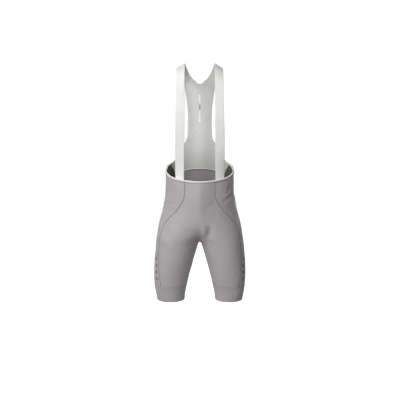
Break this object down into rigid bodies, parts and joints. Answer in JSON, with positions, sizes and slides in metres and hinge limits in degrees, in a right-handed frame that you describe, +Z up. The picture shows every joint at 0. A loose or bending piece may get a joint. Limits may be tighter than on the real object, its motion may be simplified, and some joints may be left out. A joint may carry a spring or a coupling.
{
  "type": "cycling bib shorts",
  "caption": "Grey stretch cycling bib shorts filled out as worn, with seamed side panels, leg bands, a bound waist, a mesh back and flat shoulder straps.",
  "frame": {"origin": "midway between the two shoulder straps, on the line where they cross the wearer's shoulders", "axes": "+Z up, -Y towards the front, +X towards the wearer's left"},
  "size_m": [0.3702, 0.2302, 0.9435],
  "materials": {
    "lycra": "warm mid-grey warp-knit stretch fabric, smooth with a soft sheen",
    "band_lycra": "warm mid-grey compressive leg band, smooth and matt",
    "bib_mesh": "pale grey-green ribbed mesh with a tone-on-tone contour pattern",
    "strap_elastic": "off-white raw-cut elastic, matt",
    "edge_tape": "white folded elastic edging"
  },
  "bodies": {
    "root": {"front_panel": "lycra", "back_panel": "lycra", "side_panel_left": "lycra", "side_panel_right": "lycra", "leg_band_left": "band_lycra", "leg_band_right": "band_lycra", "waist_binding": "edge_tape", "bib_back": "bib_mesh", "strap_left": "strap_elastic", "strap_right": "strap_elastic"}
  },
  "joints": []
}
